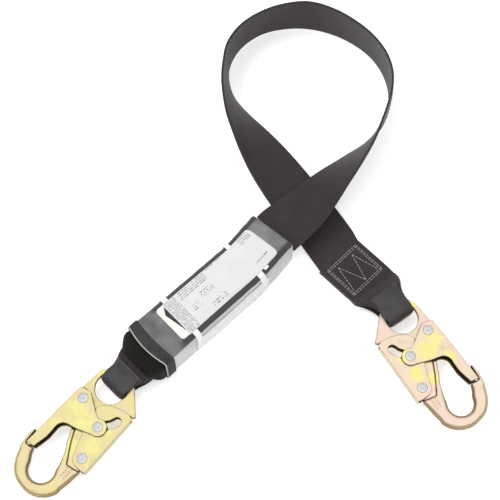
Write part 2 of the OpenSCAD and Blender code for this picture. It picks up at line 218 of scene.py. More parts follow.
class Shader:
    """A material and short ways to add nodes to it."""

    def __init__(self, name):
        self.material = bpy.data.materials.new(name)
        self.material.use_nodes = True
        self.tree = self.material.node_tree
        self.tree.nodes.clear()
        self.bsdf = self.node("ShaderNodeBsdfPrincipled")
        output = self.node("ShaderNodeOutputMaterial")
        self.link(self.bsdf.outputs[0], output.inputs[0])

    def node(self, kind, **values):
        made = self.tree.nodes.new(kind)
        for key, value in values.items():
            setattr(made, key, value)
        return made

    def link(self, a, b):
        self.tree.links.new(a, b)

    def put(self, socket, value):
        """Links an output to the socket, or sets the socket to a plain value."""
        if hasattr(value, "links"):
            self.link(value, socket)
        else:
            socket.default_value = value

    def maths(self, operation, a, b=0.0, c=0.0):
        made = self.node("ShaderNodeMath", operation=operation)
        self.put(made.inputs[0], a)
        self.put(made.inputs[1], b)
        self.put(made.inputs[2], c)
        return made.outputs[0]

    def times(self, a, b):
        return self.maths("MULTIPLY", a, b)

    def plus(self, a, b):
        return self.maths("ADD", a, b)

    def position(self):
        return self.node("ShaderNodeTexCoord").outputs["Object"]

    def dot(self, a, b):
        """Dot product of a vector output with a fixed direction."""
        made = self.node("ShaderNodeVectorMath", operation="DOT_PRODUCT")
        self.link(a, made.inputs[0])
        made.inputs[1].default_value = b
        return made.outputs["Value"]

    def between(self, value, low, high):
        """1 where the value lies between low and high, otherwise 0."""
        return self.times(self.maths("GREATER_THAN", value, low), self.maths("LESS_THAN", value, high))

    def uv(self):
        """The two UV coordinates, in metres across and along the piece."""
        split = self.node("ShaderNodeSeparateXYZ")
        self.link(self.node("ShaderNodeTexCoord").outputs["UV"], split.inputs[0])
        return split.outputs[0], split.outputs[1]

    def noise(self, scale, detail=3.0, rough=0.55, vector=None):
        made = self.node("ShaderNodeTexNoise")
        made.inputs["Scale"].default_value = scale
        made.inputs["Detail"].default_value = detail
        made.inputs["Roughness"].default_value = rough
        self.link(vector or self.position(), made.inputs["Vector"])
        return made.outputs["Fac"]

    def ramp(self, factor, stops):
        made = self.node("ShaderNodeValToRGB")
        self.link(factor, made.inputs[0])
        elements = made.color_ramp.elements
        while len(elements) < len(stops):
            elements.new(0.5)
        for element, (place, color) in zip(elements, stops):
            element.position = place
            element.color = (*color, 1)
        return made.outputs[0]

    def mix(self, factor, a, b, blend="MIX"):
        made = self.node("ShaderNodeMix", data_type="RGBA", blend_type=blend)
        self.put(made.inputs[0], factor)
        for socket, value in ((made.inputs[6], a), (made.inputs[7], b)):
            self.put(socket, (*value, 1) if isinstance(value, tuple) else value)
        return made.outputs[2]

    def remap(self, value, low, high, new_low, new_high):
        """The value moved from one range to another, held at both ends."""
        made = self.node("ShaderNodeMapRange")
        self.put(made.inputs[0], value)
        for index, number in enumerate((low, high, new_low, new_high)):
            made.inputs[index + 1].default_value = number
        return made.outputs[0]

    def bump(self, height, strength, distance, after=None):
        made = self.node("ShaderNodeBump")
        made.inputs["Strength"].default_value = strength
        made.inputs["Distance"].default_value = distance
        self.link(height, made.inputs["Height"])
        if after:
            self.link(after, made.inputs["Normal"])
        return made.outputs[0]

    def set(self, **values):
        """Sets or links the surface shader's sockets, with an underscore for each space in a name."""
        for key, value in values.items():
            self.put(self.bsdf.inputs[key.replace("_", " ")], value)


def weave_height(shader, pitch_across, pitch_along):
    """Plain weave from UVs in metres: rounded crowns in a checker of over and under."""
    u, v = shader.uv()
    across = shader.maths("SINE", shader.times(u, 2 * math.pi / pitch_across))
    along = shader.maths("SINE", shader.times(v, 2 * math.pi / pitch_along))
    return shader.maths("MULTIPLY_ADD", shader.times(across, along), 0.5, 0.5)


def cloth(name, dark, light, pitch, rough=0.82, sheen=0.25, mottle=60, strength=0.5, gloss=0.3):
    """Woven cloth: crowns lighter than the gaps, with soft mottling and fuzz."""
    shader = Shader(name)
    height = weave_height(shader, pitch[0], pitch[1])
    fuzz = shader.noise(2600, 2)
    cloud = shader.noise(mottle, 4)
    tone = shader.maths("MULTIPLY_ADD", height, 0.55, shader.times(cloud, 0.6))
    color = shader.ramp(tone, [(0.15, dark), (0.85, light)])
    shader.set(Base_Color=color, Roughness=shader.remap(cloud, 0.3, 0.7, rough - 0.06, rough + 0.06),
               Sheen_Weight=sheen, Sheen_Roughness=0.4, Specular_IOR_Level=gloss)
    first = shader.bump(fuzz, 0.15, 0.0002)
    shader.set(Normal=shader.bump(height, strength, 0.0004, first))
    return shader.material


# Where the plating shows most yellow, in the hook's frame: x, y and radius in metres.
YELLOW_PATCHES = ((0.033, 0.006, 0.011), (0.026, 0.014, 0.007), (0.046, 0.019, 0.006), (0.029, -0.014, 0.005),
                  (0.047, -0.013, 0.007), (0.060, -0.014, 0.004), (0.055, 0.001, 0.006), (-0.008, 0.014, 0.006))
# Colours of the plating's stains, of the painted shade on its rolled edges, and of its sides in painted light
# and painted shade.
STAIN, PAINTED_EDGE_SHADE = (0.50, 0.36, 0.20), (0.52, 0.38, 0.16)
LIT_SIDE, PAINTED_SIDE_SHADE = (0.42, 0.41, 0.25), (0.075, 0.050, 0.026)
# The line of the hooks' straight back: y less this slope times x, in metres.
BACK_SLOPE, BACK_LINE = 0.157, -0.0288


def zinc_material(name, place, beige, pink, yellow, inner):
    """Yellow chromate over zinc in a hook's own frame: beige with pink bloom and yellow in places, with painted
    shade on its edges, sides and cheek insides, and painted light on a pressed part's back web.

    inner is half the gap between a pressed part's cheeks, whose inside gets painted shade, or 0 for a solid
    part.
    """
    shader = Shader(name)
    back = place.inverted()
    x, y, z = (shader.plus(shader.dot(shader.position(), back[i][:3]), back[i][3]) for i in range(3))
    bloom = shader.noise(60, 2, 0.45)
    color = shader.mix(shader.remap(bloom, 0.42, 0.62, 0, 1), beige, pink)
    wander = shader.times(shader.maths("SUBTRACT", shader.noise(110, 3), 0.5), 0.018)
    gold = 0.0
    for cx, cy, radius in YELLOW_PATCHES:
        squares = [shader.maths("POWER", shader.maths("SUBTRACT", a, c), 2.0) for a, c in ((x, cx), (y, cy))]
        away = shader.plus(shader.maths("SQRT", shader.plus(*squares)), wander)
        gold = shader.maths("MAXIMUM", shader.remap(away, radius * 0.45, radius * 1.25, 1, 0), gold)
    color = shader.mix(gold, color, yellow)
    grime = shader.noise(120, 2, 0.5)
    color = shader.mix(shader.remap(grime, 0.58, 0.8, 0, 0.3), color, STAIN)
    normal = shader.node("ShaderNodeTexCoord").outputs["Normal"]
    facing = shader.maths("ABSOLUTE", shader.dot(normal, back[2][:3]))
    # Painted shade: a brown tone on the rounded edges, stronger the further they turn from the flat faces.
    color = shader.mix(shader.remap(facing, 0.70, 0.965, 0.75, 0.0), color, PAINTED_EDGE_SHADE)
    # Painted shade: faces turned away from the hook's flat faces are darkened towards the dark side colour.
    sides = shader.remap(facing, 0.3, 0.8, 0.93, 0.0)
    if inner:
        # Painted light: the pressed part's back web gets the lit side colour and is kept out of the painted
        # shade.
        from_back = shader.plus(y, shader.times(x, -BACK_SLOPE))
        lit_back_web = shader.remap(from_back, BACK_LINE - 0.001, BACK_LINE, 1.0, 0.0)
        color = shader.mix(shader.times(sides, lit_back_web), color, LIT_SIDE)
        sides = shader.times(sides, shader.maths("SUBTRACT", 1.0, lit_back_web))
        # Painted shade on the inside faces of a pressed part's cheeks, past its back.
        cheek_inside_shade = shader.remap(shader.maths("ABSOLUTE", z), inner, inner + 0.0003, 0.9, 0)
        past_back = shader.remap(from_back, BACK_LINE + 0.0002, BACK_LINE + 0.0012, 0, 1)
        sides = shader.maths("MAXIMUM", sides, shader.times(cheek_inside_shade, past_back))
    color = shader.mix(sides, color, PAINTED_SIDE_SHADE)
    scuff = shader.noise(130, 2, 0.4)
    shader.set(Base_Color=color, Metallic=0.92, Roughness=shader.remap(scuff, 0.3, 0.7, 0.20, 0.32))
    shader.set(Normal=shader.bump(shader.noise(75, 1, 0.3), 1.0, 0.0006))
    return shader.material


def steel_material(name, tone, rough):
    """Bright steel of one tone, with fine scuffs."""
    shader = Shader(name)
    scuff = shader.noise(1200, 4, 0.7)
    color = shader.ramp(scuff, [(0.3, tuple(0.8 * c for c in tone)), (0.7, tone)])
    shader.set(Base_Color=color, Metallic=1.0,
               Roughness=shader.remap(scuff, 0.3, 0.7, rough - 0.06, rough + 0.08))
    shader.set(Normal=shader.bump(shader.noise(1500, 3), 0.1, 0.0002))
    return shader.material


def sleeve_material():
    """Smooth black tube with a soft satin sheen and faint creases."""
    shader = Shader("wear_sleeve")
    crease = shader.noise(220, 3, 0.6)
    color = shader.ramp(shader.noise(90, 3), [(0.3, (0.026, 0.024, 0.025)), (0.7, (0.046, 0.042, 0.043))])
    shader.set(Base_Color=color, Roughness=shader.remap(crease, 0.3, 0.7, 0.36, 0.5))
    shader.set(Normal=shader.bump(crease, 0.25, 0.0006))
    return shader.material


# Length of a word in the labels' generic print, and the share of each row that it fills.
WORD_LENGTH = 0.0011
ROW_SHARE = 0.42


def label_material(name, paper, ink=(0, 0, 0), prints=()):
    """Vinyl label. prints are blocks of generic grey lines: (u0, u1, v0, v1, pitch, along_u, density)."""
    shader = Shader(name)
    u, v = shader.uv()
    printed = 0.0
    for u0, u1, v0, v1, pitch, along_u, density in prints:
        inside = shader.times(shader.between(u, u0, u1), shader.between(v, v0, v1))
        run, rise = (u, v) if along_u else (v, u)
        row = shader.maths("DIVIDE", rise, pitch)
        line = shader.maths("LESS_THAN", shader.maths("FRACT", row), ROW_SHARE)
        spot = shader.node("ShaderNodeCombineXYZ")
        shader.put(spot.inputs[0], shader.maths("DIVIDE", run, WORD_LENGTH))
        shader.put(spot.inputs[1], shader.times(shader.maths("FLOOR", row), 7.3))
        word = shader.maths("LESS_THAN", shader.noise(1.0, 1.0, 0.5, spot.outputs[0]), density)
        printed = shader.maths("MAXIMUM", printed, shader.times(inside, shader.times(line, word)))
    tone = shader.ramp(shader.noise(70, 3), [(0.3, tuple(0.95 * c for c in paper)), (0.7, paper)])
    shader.set(Base_Color=shader.mix(printed, tone, ink) if prints else tone,
               Roughness=shader.remap(shader.noise(400, 3), 0.3, 0.7, 0.38, 0.52), Coat_Weight=0.15)
    shader.set(Normal=shader.bump(shader.noise(45, 3), 0.2, 0.002))
    return shader.material


def cover_material():
    """Coated grey cloth: darker where it shows past the label, and a paler weave on the pack's sides, its extra
    paleness painted light.
    """
    shader = Shader("cover_cloth")
    u, v = shader.uv()
    height = weave_height(shader, 0.0011, 0.0011)
    cloud = shader.noise(42, 4)
    # The cloud's broad light and dark swings on the top are partly the cloth's uneven tone and partly painted
    # shading and sheen.
    top = shader.ramp(cloud, [(0.3, (0.07, 0.07, 0.07)), (0.5, (0.145, 0.145, 0.145)),
                              (0.66, (0.22, 0.22, 0.22))])
    # Painted light: the pack's sides are a paler grey than the top, for the light they catch.
    pale = shader.ramp(shader.maths("MULTIPLY_ADD", height, 0.5, shader.times(cloud, 0.6)),
                       [(0.2, (0.24, 0.24, 0.245)), (0.7, (0.62, 0.62, 0.625))])
    off_middle = shader.maths("ABSOLUTE", u)
    beside_label = shader.times(shader.remap(off_middle, 0.0148, 0.0166, 0, 1),
                                shader.remap(v, 0.020, 0.026, 0, 1))
    color = shader.mix(beside_label, top, (0.040, 0.040, 0.040))
    color = shader.mix(shader.remap(off_middle, 0.0212, 0.0222, 0, 1), color, pale)
    shader.set(Base_Color=color, Roughness=shader.remap(cloud, 0.3, 0.7, 0.42, 0.58), Sheen_Weight=0.1)
    first = shader.bump(shader.noise(1800, 2), 0.12, 0.0002)
    shader.set(Normal=shader.bump(height, 0.25, 0.0003, first))
    return shader.material


WEBBING = cloth("webbing", (0.0165, 0.0125, 0.0130), (0.047, 0.0375, 0.039), (0.0022, 0.0026))
COVER = cover_material()
HEM = cloth("hem_cloth", (0.004, 0.004, 0.004), (0.075, 0.075, 0.075), (0.0022, 0.0022),
            rough=0.75, sheen=0.02, mottle=80, strength=0.9, gloss=0.1)
LINER = cloth("liner_cloth", (0.003, 0.003, 0.0025), (0.018, 0.018, 0.015), (0.0009, 0.0009),
              rough=0.8, sheen=0.02, mottle=90, gloss=0.1)
PIPING = cloth("edge_piping", (0.25, 0.25, 0.24), (0.5, 0.5, 0.48), (0.0008, 0.0012),
               rough=0.6, sheen=0.1, mottle=90)
THREAD = cloth("thread", (0.18, 0.18, 0.18), (0.46, 0.46, 0.455), (0.0004, 0.0006),
               rough=0.6, sheen=0.1, mottle=200)
# Painted shade: a dark cloth laid in the gap under the lifted flap.
SHADE = cloth("flap_gap_shade", (0.02, 0.02, 0.02), (0.06, 0.06, 0.06), (0.0010, 0.0010), rough=0.7, sheen=0.1)
RIVET = steel_material("rivet_steel", (0.80, 0.81, 0.83), 0.16)
SPRING = steel_material("spring_steel", (0.35, 0.35, 0.36), 0.38)
STAMP = steel_material("stamped_marks", (0.50, 0.36, 0.24), 0.5)
SLEEVE = sleeve_material()


def dress(piece, material):
    """Gives a piece its material."""
    piece.data.materials.clear()
    piece.data.materials.append(material)


# ---- webbing leg

# Centre line of the leg: x, y and z in plan, and how far its outer edge is turned up, in degrees.
STRAP_ROUTE = [
    (0.021, 0.007, 0.017, 0), (0.027, 0.013, 0.017, 0), (0.033, 0.019, 0.016, 4),
    (0.044, 0.030, 0.014, 12), (0.054, 0.041, 0.014, 22), (0.066, 0.054, 0.016, 34),
    (0.080, 0.068, 0.019, 48), (0.094, 0.083, 0.021, 62), (0.106, 0.098, 0.022, 76),
    (0.115, 0.113, 0.0236, 86), (0.121, 0.130, 0.0236, 90), (0.123, 0.148, 0.0236, 92),
    (0.119, 0.167, 0.0236, 94), (0.109, 0.185, 0.0236, 96), (0.094, 0.200, 0.0236, 96),
    (0.075, 0.212, 0.0236, 94), (0.053, 0.219, 0.0236, 92), (0.031, 0.218, 0.0236, 94),
    (0.010, 0.211, 0.0236, 96), (-0.008, 0.197, 0.0236, 94), (-0.019, 0.178, 0.0236, 90),
    (-0.021, 0.158, 0.0236, 84), (-0.018, 0.138, 0.0226, 72), (-0.010, 0.119, 0.019, 54),
    (0.003, 0.099, 0.0134, 34), (0.017, 0.079, 0.0074, 16), (0.030, 0.061, 0.0034, 5),
    (0.042, 0.044, 0.0015, 0), (0.054, 0.027, 0.0014, 0), (0.065, 0.010, 0.0016, 0),
    (0.0708, 0.000, 0.0026, 0), (0.0751, -0.0081, 0.00325, 0),
]


def catmull_rom(points, steps):
    """Points along the curve through the given ones, with every column carried along."""
    p = np.array(points, float)
    last = len(p) - 1
    out = []
    for i in range(last):
        a, b, c, d = p[max(0, i - 1)], p[i], p[i + 1], p[min(last, i + 2)]
        for k in range(steps):
            u = k / steps
            out.append(0.5 * (2 * b + (c - a) * u + (2 * a - 5 * b + 4 * c - d) * u ** 2
                              + (3 * b - a - 3 * c + d) * u ** 3))
    out.append(p[last])
    return np.array(out)


def make_strap():
    """The free run of the leg, a flat strip that lies, turns on edge round the loop and lies again."""
    route = catmull_rom(STRAP_ROUTE, 14)
    centres = [Vector(r[:3]) + PLAN_SHIFT for r in route]
    columns = 14
    sewn_across = Vector((math.sin(SEWN_YAW), -math.cos(SEWN_YAW), 0))
    rows = []
    for i, centre in enumerate(centres):
        ahead = centres[min(len(centres) - 1, i + 1)] - centres[max(0, i - 1)]
        t = ahead.normalized()
        flat = Vector((t.y, -t.x, 0)).normalized()
        up = flat.cross(t)
        roll = math.radians(route[i][3])
        across = flat * math.cos(roll) + up * math.sin(roll)
        face = up * math.cos(roll) - flat * math.sin(roll)
        skew = smooth(1 - (centre - centres[-1]).length / 0.024)
        across = lerp(across, sewn_across, skew).normalized()
        standing = smooth((route[i][3] - 20) / 60)
        row = []
        for k in range(columns + 1):
            side = 2 * k / columns - 1
            cup = 0.0008 * standing * (side * side - 0.4)
            row.append(centre + across * (side * WEB_HALF) + face * cup)
        rows.append(row)
    strap = grid_piece("lanyard_leg", rows, WEB_T * 0.92, bevel=0.0005)
    dress(strap, WEBBING)
    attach(strap, "pack")
    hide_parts("lanyard_strap")


make_strap()

# ---- webbing eyes

# Wall of the wear sleeve, and half the gap between the plies where they turn round the hook's ring.
SLEEVE_T = 0.0013
INNER_BIGHT = 0.0048
# Half width of the webbing where it is gathered for the ring, and how far and how tightly its edges turn in.
GATHERED_HALF = 0.0112
EDGE_TURN = 0.0022
EDGE_CURL = 0.0013
EYE_COLUMNS = 22


class Neck:
    """One webbing eye, in a frame with its origin under the fold line and x towards the hook."""

    def __init__(self, side):
        self.body = side + "_neck"
        mouth = Vector(joints[side + "_neck_flex"]["pos_m"])
        eye = Vector(joints[side + "_hook_turn"]["pos_m"])
        run = Vector((eye.x - mouth.x, eye.y - mouth.y, 0))
        self.length = run.length
        self.x = run.normalized()
        self.y = Vector((-self.x.y, self.x.x, 0))
        self.origin = Vector((mouth.x, mouth.y, 0))
        self.mouth_z = mouth.z
        self.ring_z = eye.z + 0.0007
        self.bight = self.length + 0.001 - INNER_BIGHT - WEB_T - SLEEVE_T

    def place(self, x, y, z):
        return self.origin + self.x * x + self.y * y + Vector((0, 0, z))

    def middle(self, x):
        """Height midway between the plies."""
        return lerp(self.mouth_z, self.ring_z, smooth(x / (0.42 * self.length)))

    def half(self, x, start):
        """Half the gap between the plies, which is start at the sewn end."""
        return start + (INNER_BIGHT - 0.00015) * smooth(x / (0.75 * self.bight))

    def loop(self, start, x0, steps=24, turns=14):
        """Side view of a ply whose half gap is start at the sewn end: (x, z) out, round the ring and back."""
        out = []
        for i in range(steps + 1):
            x = lerp(x0, self.bight, i / steps)
            out.append((x, self.middle(x) + self.half(x, start)))
        radius = self.half(self.bight, start)
        for i in range(1, turns):
            a = math.pi / 2 - math.pi * i / turns
            out.append((self.bight + radius * math.cos(a), self.ring_z + radius * math.sin(a)))
        for i in range(steps, -1, -1):
            x = lerp(x0, self.bight, i / steps)
            out.append((x, self.middle(x) - self.half(x, start)))
        return out


def outward(points, i):
    """Unit normal of a side view's line at point i, pointing out of the loop."""
    a, b = points[max(0, i - 1)], points[min(len(points) - 1, i + 1)]
    dx, dz = b[0] - a[0], b[1] - a[1]
    size = math.hypot(dx, dz)
    return -dz / size, dx / size


def folded_row(neck, x, z, normal, half_width, reach):
    """One row of webbing whose edges curl in under it past half_width, out to reach on each side."""
    row = []
    for k in range(EYE_COLUMNS + 1):
        u = (2 * k / EYE_COLUMNS - 1) * reach
        extra = abs(u) - half_width
        side = 1 if u > 0 else -1
        if extra <= 0:
            y, drop = u, 0.0
        elif extra < math.pi * EDGE_CURL:
            a = extra / EDGE_CURL
            y, drop = side * (half_width + EDGE_CURL * math.sin(a)), EDGE_CURL * (1 - math.cos(a))
        else:
            y, drop = side * (half_width - (extra - math.pi * EDGE_CURL)), 2 * EDGE_CURL
        row.append(neck.place(x - normal[0] * drop, y, z - normal[1] * drop))
    return row


def sewn_frame():
    """Directions along and across the leg's sewn end, in plan."""
    along = heading(SEWN_YAW)
    return along, Vector((-along.y, along.x, 0))


def tail_row(neck, distance, z):
    """One row of the strap eye's webbing inside the sewn end, so far back from the eye's mouth."""
    along, over = sewn_frame()
    turn = smooth(distance / 0.008)
    across = (neck.y * (1 - turn) + over * turn).normalized()
    return [neck.origin - along * distance + across * (WEB_HALF * (2 * k / EYE_COLUMNS - 1)) + Vector((0, 0, z))
            for k in range(EYE_COLUMNS + 1)]


def make_eye(side, wide, narrow_from, narrow_to, tail):
    """The webbing of one eye: out over the hook's ring and back under it, with its sewn tail where it shows.

    wide is half its width at the sewn end, and it is gathered from x = narrow_from to x = narrow_to.
    """
    neck = Neck(side)
    start = WEB_T / 2 + 0.00005
    line = neck.loop(start, 0.0)
    rows = []
    for i, (x, z) in enumerate(line):
        half_width = lerp(wide, GATHERED_HALF, smooth((x - narrow_from) / (narrow_to - narrow_from)))
        hidden = smooth((x - narrow_to * 0.75) / (narrow_to * 0.35))
        reach = min(lerp(WEB_HALF, GATHERED_HALF, hidden), half_width + EDGE_TURN)
        rows.append(folded_row(neck, x, z, outward(line, i), half_width, reach))
    if tail:
        top, bottom, count = neck.mouth_z + start, neck.mouth_z - start, 14
        rows = ([tail_row(neck, SEWN_LENGTH * (1 - i / count), top) for i in range(count)] + rows
                + [tail_row(neck, (SEWN_LENGTH + 0.003) * (i + 1) / count, bottom) for i in range(count)])
    piece = grid_piece(side + "_eye_loop", rows, WEB_T * 0.95, bevel=0.0005)
    dress(piece, WEBBING)
    if tail:
        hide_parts(side + "_eye_webbing", "strap_sewn_end")
        neck.place(-0.001, 0, neck.mouth_z)
        neck.place(0.016, 0, neck.mouth_z)
        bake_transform(piece)
    else:
        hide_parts(side + "_eye_webbing")
        neck.place(-0.004, 0, neck.mouth_z)
        neck.place(0.010, 0, neck.mouth_z)
        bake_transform(piece)
    return neck


def flat_section(half_width, half_depth, count=36):
    """Section of a flat tube, as (across, out) pairs: an ellipse squared off at its corners."""
    return [(half_width * math.copysign(abs(math.cos(a)) ** 0.42, math.cos(a)),
             half_depth * math.copysign(abs(math.sin(a)) ** 0.75, math.sin(a))) for a in turns(count)]


def make_sleeve(side, neck, from_x):
    """Smooth tube over the webbing where it wears on the hook's ring, flared and rounded at its mouths."""
    line = neck.loop(WEB_T / 2 + 0.0006, from_x, 26, 18)
    rings = []
    for i, (x, z) in enumerate(line):
        end = min(i, len(line) - 1 - i)
        normal = outward(line, i)
        flare = 1 + 0.16 * (1 - smooth(end / 7)) * (1 if end > 0 else 0.93)
        depth = 0.0021 * (1 + 0.25 * (1 - smooth(end / 9)))
        if end == 0:
            depth *= 0.8
        half_width = 0.0122 * flare
        ring = []
        for y, out in flat_section(half_width, depth):
            wave = 0.00022 * noise.noise(Vector((y * 160, i * 0.35, 3.1)))
            ring.append(neck.place(x + normal[0] * (out + wave), y, z + normal[1] * (out + wave)))
        rings.append(ring)
    piece = tube_piece(side + "_wear_sleeve", rings)
    dress(piece, SLEEVE)
    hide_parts(side + "_eye_sleeve")
    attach(piece, neck.body)


strap_neck = make_eye("strap", WEB_HALF, 0.002, 0.026, True)
absorber_neck = make_eye("absorber", 0.0165, 0.001, 0.016, False)
make_sleeve("strap", strap_neck, 0.34 * strap_neck.length)
make_sleeve("absorber", absorber_neck, 0.30 * absorber_neck.length)

# ---- stitching


def stitch(verts, faces, a, b, radius, sag):
    """One thread stitch from a to b: a six-sided spindle with its middle proud of the cloth."""
    along = b - a
    side = Vector((-along.y, along.x, 0)).normalized()
    up = Vector((0, 0, 1))
    base, steps, sides = len(verts), 5, 6
    for i in range(steps + 1):
        u = i / steps
        r = radius * (0.35 + 0.65 * math.sin(math.pi * u) ** 0.5)
        centre = a + along * u + up * (sag * math.sin(math.pi * u))
        verts += [centre + side * (r * math.cos(w)) + up * (r * math.sin(w)) for w in turns(sides)]
    faces += [tuple(base + j for j in face) for face in grid_faces(steps + 1, sides, closed=True)]
    faces.append(tuple(base + k for k in range(sides - 1, -1, -1)))
    faces.append(tuple(base + steps * sides + k for k in range(sides)))


def stitch_line(verts, faces, a, b, pitch=0.0031, radius=0.00034):
    """A row of stitches with a small gap at each needle hole."""
    count = max(1, round((b - a).length / pitch))
    for i in range(count):
        stitch(verts, faces, a.lerp(b, (i + 0.06) / count), a.lerp(b, (i + 0.94) / count), radius, 0.0002)


def make_box_stitching(neck):
    """Double-lined box with a W zigzag, sewn through both plies of the leg's end."""
    along, over = sewn_frame()
    top = neck.mouth_z + WEB_T + 0.00018
    near, far, half = -0.0024, -0.0334, 0.017
    end_gap, side_gap = 0.0017, 0.0015
    verts, faces = [], []

    def at(x, y):
        return neck.origin + along * x + over * y + Vector((0, 0, top))

    for x in (near, near - end_gap, far, far + end_gap):
        stitch_line(verts, faces, at(x, -half), at(x, half))
    for y in (-half, -half + side_gap, half, half - side_gap):
        stitch_line(verts, faces, at(far, y), at(near, y))
    zigzag = [(near - 0.003, -half + 0.003), (far + 0.004, -half / 2), (near - 0.003, 0.0),
              (far + 0.004, half / 2), (near - 0.003, half - 0.003)]
    for a, b in zip(zigzag, zigzag[1:]):
        stitch_line(verts, faces, at(*a), at(*b))
    piece = mesh_object("box_stitching", verts, faces, [(v.x, v.y) for v in verts])
    dress(piece, THREAD)
    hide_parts("strap_box_stitching")
    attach(piece, "pack")


make_box_stitching(strap_neck)

# ---- hooks

# Pins in the hook's own frame, and how far the gate's and the lever's cheeks stand out from its middle.
GATE_PIVOT = (0.0184, 0.0137)
LEVER_PIVOT = (0.0588, -0.0116)
CATCH_PIN = (0.0320, -0.0090)
GATE_OUT = 0.0063
LEVER_OUT = 0.0043
# Half the thickness of the forged bowl, and how far its edges are rolled round behind it and at its end.
BOWL_HALF = 0.00425
ROUND_FROM, ROUND_TO = 0.0016, 0.0040
# Beige, pink and yellow tones of each hook's plating.
PLATING = {"strap": ((0.84, 0.70, 0.52), (0.86, 0.66, 0.56), (0.89, 0.81, 0.31)),
           "absorber": ((0.78, 0.70, 0.34), (0.80, 0.66, 0.42), (0.86, 0.80, 0.32))}


def hook_frame(side):
    """Matrix of a hook's own frame: origin at its eye, x to the bowl, y to the gate."""
    eye = Vector(joints[side + "_hook_turn"]["pos_m"])
    z = -Vector(joints[side + "_gate_swing"]["axis"]).normalized()
    pivot = Vector(joints[side + "_lever_squeeze"]["pos_m"]) - eye
    pivot = (pivot - z * pivot.dot(z)).normalized()
    x = Matrix.Rotation(-math.atan2(LEVER_PIVOT[1], LEVER_PIVOT[0]), 3, z) @ pivot
    y = z.cross(x)
    matrix = Matrix((x, y, z)).transposed().to_4x4()
    matrix.translation = eye
    return matrix


def relax(piece, rounds, weight):
    """Rounds of smoothing, each vertex moved by its own weight towards its neighbours' middle."""
    data = piece.data
    co = read_points(data)
    edges = np.empty(len(data.edges) * 2, int)
    data.edges.foreach_get("vertices", edges)
    edges = edges.reshape(-1, 2)
    a, b = edges[:, 0], edges[:, 1]
    count = np.bincount(edges.ravel(), minlength=len(co))[:, None]
    w = weight(co)[:, None]
    for _ in range(rounds):
        total = np.zeros_like(co)
        for axis in range(3):
            total[:, axis] = np.bincount(a, co[b, axis], len(co)) + np.bincount(b, co[a, axis], len(co))
        co += w * (total / count - co)
    write_points(data, co)


def remeshed(node, name, voxel):
    """A copy of a CAD part as one skin of small even faces."""
    piece = bpy.data.objects.new(name, frame["nodes"][node].data.copy())
    bpy.context.scene.collection.objects.link(piece)
    remesh = piece.modifiers.new("remesh", "REMESH")
    remesh.mode = "VOXEL"
    remesh.voxel_size = voxel
    return apply_modifiers(piece)


def thinned(piece, keep):
    """The piece with only a share of its faces kept."""
    thin = piece.modifiers.new("thin", "DECIMATE")
    thin.ratio = keep
    return apply_modifiers(piece)


class Local:
    """Turns rows of world points into a hook's own frame, and back."""

    def __init__(self, place):
        back = place.inverted()
        self.turn = np.array(back.to_3x3())
        self.shift = np.array(back.translation)

    def __call__(self, co):
        return co @ self.turn.T + self.shift

    def world(self, co):
        return (co - self.shift) @ np.linalg.inv(self.turn).T


def rolled(x, y, z, radius, wall_at, wall_normal, distance=None):
    """Where a point near a square edge goes when the edge is rolled to a radius, or None if it stays.

    A face's point goes by its distance from the nearest wall. A wall's point has none and goes by its height.
    """
    base = BOWL_HALF - radius
    inward = -Vector(wall_normal)
    if distance is None:
        angle = math.radians(45 * (abs(z) - base) / radius)
    elif abs(z) < BOWL_HALF - 0.0004 or distance >= radius:
        return None
    else:
        angle = math.radians(45 + 45 * distance / radius)
        if distance > 0.0003:
            inward = Vector((x - wall_at[0], y - wall_at[1]))
    if inward.length < 1e-9:
        return None
    spot = Vector(wall_at) + inward.normalized() * radius * (1 - math.cos(angle))
    return spot[0], spot[1], math.copysign(base + radius * math.sin(angle), z)


def round_section(piece, local):
    """Rolls the bowl's and the nose's square edges round, as forging leaves them."""
    co = read_points(piece.data)
    p = local(co)
    normal = (local(co + MM * np.array([v.normal for v in piece.data.vertices])) - p) * (1 / MM)
    forged = (p[:, 0] > 0.0665) | ((p[:, 0] > 0.0562) & (p[:, 1] > 0.0300))
    walls = np.nonzero(forged & (np.abs(normal[:, 2]) < 0.4) & (np.abs(p[:, 2]) < 0.0030))[0]
    tree = KDTree(len(walls))
    for i in walls:
        tree.insert((p[i, 0], p[i, 1], 0), i)
    tree.balance()
    new = p.copy()
    for i in np.nonzero(forged)[0]:
        x, y, z = p[i]
        rolls_fully = y < 0.030 or x > 0.076
        radius = lerp(ROUND_FROM, ROUND_TO, smooth((x - 0.068) / 0.010)) if rolls_fully else ROUND_FROM
        if abs(z) <= BOWL_HALF - radius:
            continue
        on_face = abs(normal[i, 2]) > 0.6
        wall, j, distance = tree.find((x, y, 0)) if on_face else ((x, y), i, None)
        spot = rolled(x, y, z, radius, wall[:2], normal[j, :2], distance)
        if spot:
            new[i] = spot
    write_points(piece.data, local.world(new))


# Generic strokes on the bowl and the eye: x, y, length and direction in degrees, in the hook's frame.
STAMP_STROKES = [(0.0705 + 0.0021 * i, -0.0098 + 0.0004 * i, 0.0022, 80 + 25 * (i % 3)) for i in range(5)]
STAMP_STROKES += [(0.0707 + 0.0024 * i, -0.0062 + 0.0004 * i, 0.0018, 10 + 70 * (i % 2)) for i in range(4)]
EYE_STROKES = [(0.0132 + 0.0016 * i, 0.0030 - 0.0019 * i, 0.0017, 20 + 60 * (i % 2)) for i in range(4)]


def make_stamp(side, place):
    """Small raised strokes on both faces, which stand for the maker's stamped marks."""
    verts, faces = [], []
    for strokes, z, radius in ((STAMP_STROKES, BOWL_HALF, 0.00024), (EYE_STROKES, 0.0025, 0.00015)):
        for x, y, length, angle in strokes:
            half = heading(math.radians(angle)) * (length / 2)
            for face in (-1, 1):
                middle = Vector((x, y, face * z))
                stitch(verts, faces, place @ (middle - half), place @ (middle + half), radius, 0.0)
    piece = mesh_object(side + "_stamped_marks", verts, faces)
    dress(piece, STAMP)
    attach(piece, side + "_hook")


